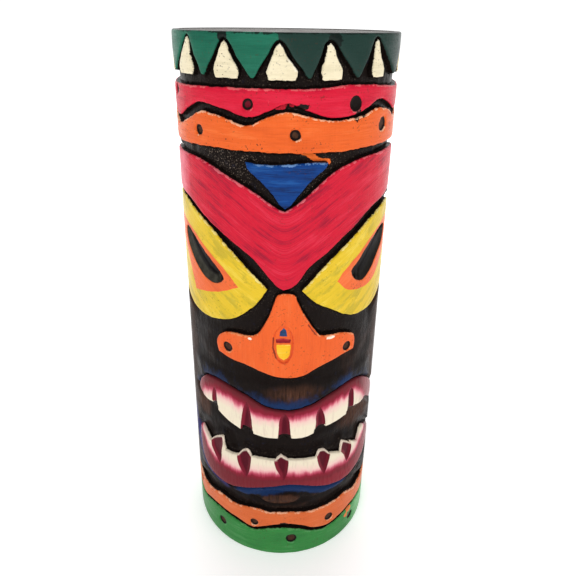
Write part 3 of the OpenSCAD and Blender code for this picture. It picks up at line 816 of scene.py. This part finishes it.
# The brow's pale mark is a painted highlight: its left end is lighter, as glare.
carve("brow", "red_paint", "brow", stroke=brow_stroke,
      marks=lambda at: {"pale": smooth(-30, -44, at.s)})
carve("forehead_triangle", "blue_paint", "blue", ragged=0.12, spacing=0.6)


# ---- eyes ----
def iris_top(at):
    return RADIUS - edge_roll(at.d, 0.5, 0.25) - uneven(at)


def pupil_parts(at, side):
    """How far the steep wall and the gentle slope of a gouged pupil have gone down."""
    facing = at.inward[:, 0] * side * 0.75 + at.inward[:, 1] * 0.66
    gentle = smooth(-0.2, 0.5, facing)
    return gentle, at.d * (2.2 - 1.75 * gentle)


def pupil_top(at, side):
    return RADIUS - 0.22 - 1.6 * np.tanh(pupil_parts(at, side)[1] / 1.5) - 0.6 * uneven(at)


def pupil_marks(at, side):
    gentle = pupil_parts(at, side)[0]
    # Painted highlight on the gentle slope, which faces the light; stronger on the left eye.
    return {"slope": gentle * smooth(3.4, 2.2, at.d) * (0.6 + 0.4 * side)}


EYE_RAGGED = 0.07
PUPIL_FLOOR = GROUND - 0.8
for eye, side in (("left", 1), ("right", -1)):
    yellow, _ = outlines(f"{eye}_eye")
    orange, _ = outlines(f"{eye}_iris")
    outer = max(yellow, key=lambda loop: np.ptp(loop[:, 0]))
    pupil = min(orange, key=lambda loop: np.ptp(loop[:, 0]))
    brushed = {"stroke": lambda at: (at.s, at.z + side * 0.6 * at.s), "ragged": EYE_RAGGED}
    carve(f"{eye}_eye", "yellow_paint", "yellow", rim=Rim([by_hand(outer, EYE_RAGGED)]),
          loops=yellow, **brushed)
    carve(f"{eye}_iris", "orange_paint", "iris", top=iris_top, rim=Rim([by_hand(pupil, EYE_RAGGED)]),
          loops=orange, **brushed)
    carve(f"{eye}_pupil", "dark_wood", "pupil", top=lambda at: pupil_top(at, side),
          marks=lambda at: pupil_marks(at, side), ragged=EYE_RAGGED, spacing=0.5,
          loops=[pupil[::-1]], floor=PUPIL_FLOOR)


# ---- nose ----
nose_loops, _ = outlines("nose")
OVAL = min(nose_loops, key=lambda loop: abs(loop[:, 0].mean()) + abs(loop[:, 1].mean() - 103))
nose_loops = [loop for loop in nose_loops if loop is not OVAL]
OVAL_RIM = Rim([OVAL[::-1]])


def nose_top(at):
    depth, _ = OVAL_RIM.ask(at.s, at.z)
    within = inside(np.stack([at.s, at.z], 1), OVAL, np.roll(OVAL, -1, 0))
    fall = np.where(within, 0.75 * smooth(0, 0.35, depth), 0.5 * edge_roll(depth, 0.4, 0.3))
    return carved_top(at) - fall


def nose_marks(at):
    chip = np.maximum(at.blot(17.2, 104.2, 2.3, 0.9), 0.8 * at.blot(-11.8, 104.6, 1.3, 0.7))
    nick = np.maximum(at.path([(8.6, 111), (11.6, 106.4), (12.8, 104.4)], 0.6),
                      0.9 * at.path([(-3.4, 106), (-3.6, 102), (-2.4, 97.6)], 0.9))
    red = smooth(0.55, 0.1, OVAL_RIM.ask(at.s, at.z)[0]) * smooth(110.5, 108, at.z)
    return {"chip": chip, "nick": nick, "red_line": red}


def mark_top(at):
    return RADIUS - 0.68 - edge_roll(at.d, 0.4, 0.1) - uneven(at)


carve("nose", "orange_paint", "nose", top=nose_top, stroke=lambda at: (at.z, at.s),
      marks=nose_marks, loops=nose_loops, keep=[OVAL[::-1]], spacing=0.6)
carve("nostril_spots", "dark_wood", "spot", top=spot_top, spacing=0.45, ragged=0.03)
for name, slot in (("blue", "blue_paint"), ("red", "maroon_paint"), ("yellow", "yellow_paint")):
    carve(f"nose_mark_{name}", slot, f"mark_{name}", top=mark_top, spacing=0.5, ragged=0.12)


# ---- mouth ----
# The line where gum turns into teeth, as [arc, level]
UPPER_ROOT = ((-41, 66), (-38.4, 70), (-36.7, 72.4), (-34, 74.6), (-28, 77), (-22, 77), (-16, 75.4),
              (-11, 73), (-6, 72.2), (0, 71.6), (8, 71.8), (14, 73), (20, 75), (27, 76.2),
              (31.5, 76.4), (35.4, 73.8),
              (38, 71), (39.8, 68), (42, 63), (47, 59), (58, 55))
LOWER_ROOT = ((-44, 53.5), (-40, 48.8), (-36, 44.4), (-31, 41.2), (-25, 41.2), (-18, 41.4), (-10, 42.8),
              (-4, 43.6), (3, 43.8), (10, 43), (18, 41.8), (26, 41.2), (30, 41), (34, 42.2), (37, 43.6),
              (40, 46), (43, 48.6), (47, 52), (57, 60))
UPPER_GAPS = (
    ((-30.7, 65), (-30.4, 73), (-29.6, 76.6), (-28.8, 77.8), (-28, 76.4), (-27.6, 73), (-27.4, 65)),
    ((-16.9, 60), (-15.8, 69), (-14.9, 74), (-13.8, 77.2), (-12.6, 74.6), (-11.7, 69), (-11.2, 58)),
    ((-1.9, 57), (-1.3, 66), (-0.9, 71), (0.5, 74), (2.2, 71.6), (3, 66), (3.6, 57)),
    ((12.2, 58), (12.9, 67), (13, 71.6), (14.2, 75), (15.6, 72.4), (16.6, 69), (17.4, 59)),
    ((27.3, 62), (27.7, 70), (27.8, 75), (28.8, 78), (30.2, 76.4), (31.1, 72), (31.2, 64)),
)
LOWER_GAPS = (
    ((-33.2, 50.4), (-31, 53.6), (-26, 57), (-25.4, 53), (-26.2, 48), (-26.5, 43.4), (-27.6, 40.4),
     (-29.6, 42.8), (-32.4, 46.4)),
    ((-18.7, 52), (-17, 55), (-12.6, 56), (-12.2, 51), (-12.6, 46), (-13.4, 42.4), (-14.6, 40),
     (-16.4, 42.8), (-18, 46.6)),
    ((-3, 53), (-2, 55.6), (2, 55), (2.6, 51), (2.4, 47), (1.8, 43.6), (0.6, 40.8), (-0.8, 44),
     (-2.2, 47)),
    ((14, 52), (14.4, 55.4), (19.4, 54.4), (20, 50.2), (19.2, 46), (18.2, 42.2), (17.4, 40.6),
     (16.2, 43), (14.7, 47)),
    ((25.6, 48), (25.4, 54.4), (31, 53.4), (31.8, 49.4), (31.8, 45.4), (30.4, 41.8), (29.4, 40.6),
     (28.4, 42.6), (27.4, 45.4)),
)


MOUTH_RAGGED = 0.04


class Mouth:
    """One jaw: the gum and its teeth share one skin, so their heights meet at every seam."""

    def __init__(self, gum, teeth, roots, gaps, up):
        self.gum, self.roots, self.up = gum, roots, up
        self.teeth = sorted(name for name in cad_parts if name.startswith(teeth))
        self.loops = {name: outlines(name, 0.45)[0] for name in (gum, *self.teeth)}
        self.gaps = [smooth_loop(np.array(gap, float), 0.4) for gap in gaps]
        self.gap_rim = Rim(self.gaps)
        rims = {name: Rim([by_hand(loop, MOUTH_RAGGED) for loop in loops])
                for name, loops in self.loops.items()}
        free = []
        for name, rim in rims.items():
            alone = np.ones(len(rim.points), bool)
            for other, its in rims.items():
                if other != name and gum in (name, other):
                    alone &= its.ask(*rim.points.T)[0] > 0.16
            free.append((rim.points[alone], rim.inward[alone]))
        self.rim = Rim.joined(free)

    def gap_depth(self, at):
        """How deep a place is in a gap: above 0 inside one and below 0 outside it."""
        depth, inward = self.gap_rim.ask(at.s, at.z)
        within = np.zeros(len(depth), bool)
        for gap in self.gaps:
            within |= inside(np.stack([at.s, at.z], 1), gap, np.roll(gap, -1, 0))
        return np.clip(np.where(within, depth, -depth), -1.5, 3), smooth(-0.3, 0.3, -inward[:, 0])

    def top(self, at):
        gap, _ = self.gap_depth(at)
        soft = edge_roll(at.d, 0.6, 0.3) + edge_roll(at.d, 3.0, 0.35)
        return RADIUS - soft - 0.6 * uneven(at) - 0.95 * np.tanh(np.maximum(gap, 0) / 1.1)

    def marks(self, at):
        gap, left = self.gap_depth(at)
        above = smooth(46.5, 48.5, at.z) if self.up > 0 else at.z * 0
        return {
            "into": (at.z - level_of(self.roots, at.s)) * self.up,
            "gap": gap,
            # 1 on a gap's left wall, which the paint makes lighter, as lit
            "gap_left": left,
            "lip_edge": smooth(0.5, 0.25, at.d) * above * (gap > 0),
            "lip_tone": (0.3 + 0.5 * smooth(-10, 30, at.s)) * (self.up > 0),
            "faded": smooth(30, 42, np.abs(at.s)) * (0.9 if self.up < 0 else 0),
            "purple": smooth(-40.3, -42.5, at.s) * smooth(52, 48, at.z) * (self.up > 0),
        }

    def build(self):
        skin = {"top": self.top, "marks": self.marks, "rim": self.rim, "ragged": MOUTH_RAGGED}
        carve(self.gum, "maroon_paint", "gum", spacing=0.55, loops=self.loops[self.gum], **skin)
        for name in self.teeth:
            carve(name, "ivory_paint", "tooth", spacing=0.6, loops=self.loops[name], **skin)


Mouth("upper_gum", "upper_tooth_", UPPER_ROOT, UPPER_GAPS, -1).build()
Mouth("lower_lip", "lower_tooth_", LOWER_ROOT, LOWER_GAPS, 1).build()

# ---- the log ----
# The upper edge of the gum and the lower edge of the lip, as [arc, level]
GUM_EDGE = ((-41, 72), (-38, 76.8), (-34, 80), (-26, 81.5), (-15, 79.3), (-5, 75), (2.5, 74),
            (10, 75.3), (20, 78.7), (28, 80.4), (33, 79.8), (40, 76.4), (47, 71.2), (58, 60))
LIP_EDGE = ((-50, 50), (-46, 44), (-43, 38), (-40, 34.3), (-33, 31.8), (-25, 31.3), (-15, 33.8),
            (-5, 36.8), (3, 38.3), (10, 36.8), (20, 33.3), (30, 31.8), (40, 33), (52, 37))
LANDS = Rim.joined(ALL_RIMS)


def under_land(s, z):
    """Which places lie under a land."""
    under = np.zeros(len(s), bool)
    for starts, ends in ALL_EDGES:
        for turn in (-TURN, 0, TURN):
            places = np.stack([s + turn, z], 1)
            near = np.flatnonzero(((places > starts.min(0)) & (places < starts.max(0))).all(1))
            if len(near):
                under[near] |= inside(places[near], starts, ends)
    return under


def land_distance(s, z):
    """The distance to the nearest land, 0 under one."""
    return np.where(under_land(s, z), 0, LANDS.ask(s, z)[0])


def chin_shape(s, z):
    """A squared oval carved on the chin: below 1 inside it."""
    return (np.abs((s + 0.5) / 8) ** 3 + np.abs((z - 30.4) / 3) ** 3) ** (1 / 3)


UNDER_LANDS = GROUND - 0.85  # where the core's skin lies under a land


def ground_radius(s, z, d):
    """The carved ground: it rises away from the cuts, sinks in the mouth and bears the chin's oval."""
    side = smooth(38, 49, np.abs(s)) * smooth(186, 182, z)
    lift = smooth(1.1 - 0.5 * side, 7 - 4.2 * side, d) * (0.28 + 0.66 * side) * RELIEF
    scoops = 0.26 * np.abs(noise(s, z, 4.5, 7, 41)) + 0.12 * np.abs(noise(s, z, 2.1, 3.2, 42))
    mouth = smooth(44, 24, np.abs(s)) * smooth(47, 53, z) * smooth(73, 67, z) * smooth(0.5, 3, d)
    chin = chin_shape(s, z)
    over_gum = smooth(-0.6, 0.2, z - level_of(GUM_EDGE, s)) * smooth(90, 84, z) * smooth(56, 62, z)
    under_lip = smooth(-0.6, 0.2, level_of(LIP_EDGE, s) - z) * smooth(28, 31, z)
    lip = np.maximum(over_gum, under_lip)
    lift = np.maximum(lift, 0.72 * RELIEF * smooth(-0.1, 1.2, d) * lip * smooth(64, 56, np.abs(s)))
    r = GROUND + 0.15 + lift - scoops * (1 - 0.6 * side) - 1.7 * mouth + 0.9 * smooth(1.1, 0.7, chin)
    r = r - 0.7 * smooth(0.4, 0.05, np.abs(chin - 1.3))
    ends = smooth(3.4, 2.4, np.minimum(z, HEIGHT - z))
    under = (d <= 0) * (1 - ends)
    r = np.minimum(r * (1 - ends) + GROUND * ends, RADIUS - 0.05)
    return r * (1 - under) + UNDER_LANDS * under


def ground_marks(at, d):
    s, z = at.s, at.z
    above_gum = z - level_of(GUM_EDGE, s)
    below_lip = level_of(LIP_EDGE, s) - z
    front = smooth(48, 40, np.abs(s))
    middle = 0.65 + 0.5 * smooth(16, 6, np.abs(s)) + 0.35 * smooth(5, 2, np.abs(np.abs(s) - 25))
    middle = middle * (0.75 + 0.5 * noise(s, z, 9, 6, 51))
    blue_above = smooth(7.5, 0.5, above_gum) * smooth(-1.5, 0, above_gum) * middle * front
    blue_below = 1.25 * smooth(4.8, 2.6, below_lip) * smooth(-1.5, 0, below_lip)
    blue_below = blue_below * smooth(-24, -14, s) * smooth(34, 24, s)
    purple = at.path([(-49, 56), (-47.5, 46), (-44, 37.5), (-36, 31), (-26, 29.5)], 7)
    chin = chin_shape(s, z)
    # Painted glare: the ground at the figure's two sides turns paler brown, as if the lacquer shines
    # there.
    side_glare = 0.6 * smooth(36, 47, np.abs(s)) * smooth(66, 55, np.abs(s))
    # Brown patches: partly worn brown stain and partly painted sheen where the lacquer would shine.
    brown_and_sheen = np.maximum.reduce([
        0.75 * at.blot(4, 81.5, 14, 6), 0.4 * at.blot(34, 92, 16, 12), 0.3 * at.blot(-34, 94, 14, 12),
        0.9 * at.blot(38, 61, 16, 9), 0.9 * at.blot(-40, 63, 7, 8), 0.7 * smooth(1.1, 0.8, chin),
        0.55 * at.blot(9, 31.5, 14, 4), 0.4 * at.blot(0, 26, 30, 3),
        0.35 * smooth(56, 64, np.abs(s)), 0.14 * smooth(186, 190, z),
        side_glare * smooth(140, 110, z) * smooth(48, 60, z),
    ])
    brown_and_sheen = brown_and_sheen * (1 - smooth(0.45, 0.1, np.abs(chin - 1.3)))
    dust = np.maximum(at.blot(-20, 165, 16, 10), 0.7 * at.blot(14, 160, 16, 12))
    dust = dust + 0.25 * smooth(3, 1, d)
    run = at.path([(5.5, 170), (8.5, 168.6), (10.5, 167.2), (14.4, 166.6)], 2.4)
    red = np.maximum(at.blot(-2, 183.4, 3.6, 1.8), 0.8 * at.blot(2, 183.6, 1.4, 1.2))
    return {"blue": np.clip(blue_above + blue_below, 0, 1), "purple": purple, "brown_and_sheen": brown_and_sheen,
            "dust": np.clip(dust, 0, 1), "orange_run": run, "red_run": red, "end": s * 0}


def log():
    """The carved log: a fine grid round it, with a sawn end at the top and one below."""
    columns, rows, discs = 308, 262, 14
    s = (np.arange(columns) / columns - 0.5) * TURN
    level = np.linspace(0.12, HEIGHT - 0.12, rows)
    grid_z, grid_s = np.meshgrid(level, s, indexing="ij")
    at = Place(grid_s.ravel(), grid_z.ravel())
    d = land_distance(at.s, at.z)
    reach = ground_radius(at.s, at.z, d)
    points = [on_log(at.s, at.z, reach)]
    values = {key: [value] for key, value in ground_marks(at, d).items()}
    values["roll"] = [in_space(at.s, at.z, reach)]
    faces = []
    around = np.arange(columns)
    after = (around + 1) % columns

    def band_between(low, high):
        quads = np.stack([low + around, low + after, high + after, high + around], 1)
        faces.extend(quads.tolist())

    def end_points(s, z, r):
        points.append(on_log(s, z, r))
        for key, value in values.items():
            value.append(in_space(s, z, r) if key == "roll" else s * 0 + (key == "end"))

    for row in range(rows - 1):
        band_between(row * columns, (row + 1) * columns)
    count = rows * columns
    for first, z, up in (((rows - 1) * columns, HEIGHT - 0.1, 1), (0, 0.1, -1)):
        edge = first
        for k in range(1, discs):
            r = reach[first : first + columns] * (1 - k / discs)
            rings = 0.07 * np.sin(r * 2.6 + 1.5 * noise(s, s * 0 + 50, 30, 9, 61))
            rings = rings - 0.06 * (1 + noise(s, r, 9, 5, 62))
            height = z + (np.minimum(rings, 0) if up > 0 else s * 0)
            end_points(s, height, r)
            band_between(edge, count) if up > 0 else band_between(count, edge)
            edge = count
            count += columns
        end_points(np.zeros(1), np.full(1, z), np.zeros(1))
        low, high = (around, after) if up > 0 else (after, around)
        faces.extend((edge + a, edge + b, count) for a, b in zip(low.tolist(), high.tolist()))
        count += 1
    values = {key: np.concatenate(value) for key, value in values.items()}
    return make_object("log_core", np.concatenate(points), faces, values, sharp=60)


finish_piece(log(), "dark_wood", PAINTS["ground"], "log_core")

# ---- studio ----
def floor():
    """A pale floor that goes white away from the figure, so that no view sees its edge."""
    half = 3.0
    mesh = bpy.data.meshes.new("studio_floor")
    corners = [(-half, -half, 0), (half, -half, 0), (half, half, 0), (-half, half, 0)]
    mesh.from_pydata(corners, [], [(0, 1, 2, 3)])
    white = bpy.data.materials.new("floor_white")
    white.use_nodes = True
    shader = white.node_tree.nodes["Principled BSDF"]
    shader.inputs["Base Color"].default_value = (0.9, 0.9, 0.9, 1)
    shader.inputs["Roughness"].default_value = 0.9
    shader.inputs["Emission Color"].default_value = (1, 1, 1, 1)
    mixer = Mixer(white.node_tree)
    place = mixer.node("TexCoord", {}, "Object")
    away = mixer.node("VectorMath", {0: place}, "Value", operation="LENGTH")
    mixer.put(shader.inputs["Emission Strength"], mixer.step(away, 0.05, 0.4, 0.38, 0.9))
    mesh.materials.append(white)
    plane = in_scene("studio_floor", mesh)


def soft_light(name, place, target, size, watts):
    """A round lamp that lights the paint and leaves no haze of its own on the black."""
    light = bpy.data.lights.new(name, "AREA")
    light.shape = "DISK"
    light.size = size
    light.energy = watts
    lamp = in_scene(name, light)
    lamp.visible_glossy = False
    lamp.location = place
    lamp.rotation_euler = (Vector(target) - Vector(place)).to_track_quat("-Z", "Y").to_euler()


def sky(behind, before):
    """A white backdrop behind the figure, which darkens towards the viewer."""
    world = bpy.data.worlds.new("studio_white")
    bpy.context.scene.world = world
    world.use_nodes = True
    mixer = Mixer(world.node_tree)
    way = mixer.node("TexCoord", {}, "Generated")
    backwards = mixer.node("SeparateXYZ", {0: way}, "Y")
    seen = mixer.node("LightPath", {}, "Is Camera Ray")
    white = mixer.math("MAXIMUM", mixer.step(backwards, 0.1, 0.75, before, behind), seen)
    backdrop = mixer.nodes["Background"]
    mixer.put(backdrop.inputs["Strength"], white)
    backdrop.inputs["Color"].default_value = (1, 1, 1, 1)


SENSOR, LENS = 36, 33.8  # the camera's, in millimetres
SHIFT = -0.058  # how far its frame is moved, in widths, below 0 for down
AWAY, ABOVE = 0.9665, 1.0166  # from the figure's middle and base, in heights of the figure


def camera():
    """A phone's lens just above the top of the figure, looking down at it from in front."""
    turn, down, tilt = 0.0078, 0.4112, 0.0143  # radians
    ahead = Vector((math.sin(turn) * math.cos(down), math.cos(turn) * math.cos(down), -math.sin(down)))
    right = Vector((math.cos(turn), -math.sin(turn), 0))
    up = right.cross(ahead)
    x = math.cos(tilt) * right + math.sin(tilt) * up
    y = math.cos(tilt) * up - math.sin(tilt) * right
    eye = in_scene("camera", bpy.data.cameras.new("camera"))
    eye.data.sensor_width = SENSOR
    eye.data.lens = LENS
    eye.data.shift_y = SHIFT
    eye.data.clip_start = 0.01
    place = Matrix((x, y, -ahead)).transposed().to_4x4()
    place.translation = Vector((0, -AWAY * HEIGHT * MM, ABOVE * HEIGHT * MM))
    eye.matrix_world = place
    bpy.context.scene.camera = eye


floor()
sky(behind=1.1, before=0.3)
CENTRE = (0, 0, 0.5 * HEIGHT * MM)
for lamp in (  # name, place, target and size in metres, watts
    ("key_light", (-0.5, -0.85, 0.8), CENTRE, 0.6, 4.5),
    ("fill_light", (0.8, -0.6, 0.5), CENTRE, 0.8, 2.8),
    ("back_light", (0, 0.9, 1.1), (0, 0.3, 0), 1.2, 6),
):
    soft_light(*lamp)
camera()
bpy.context.scene.view_settings.view_transform = "Standard"
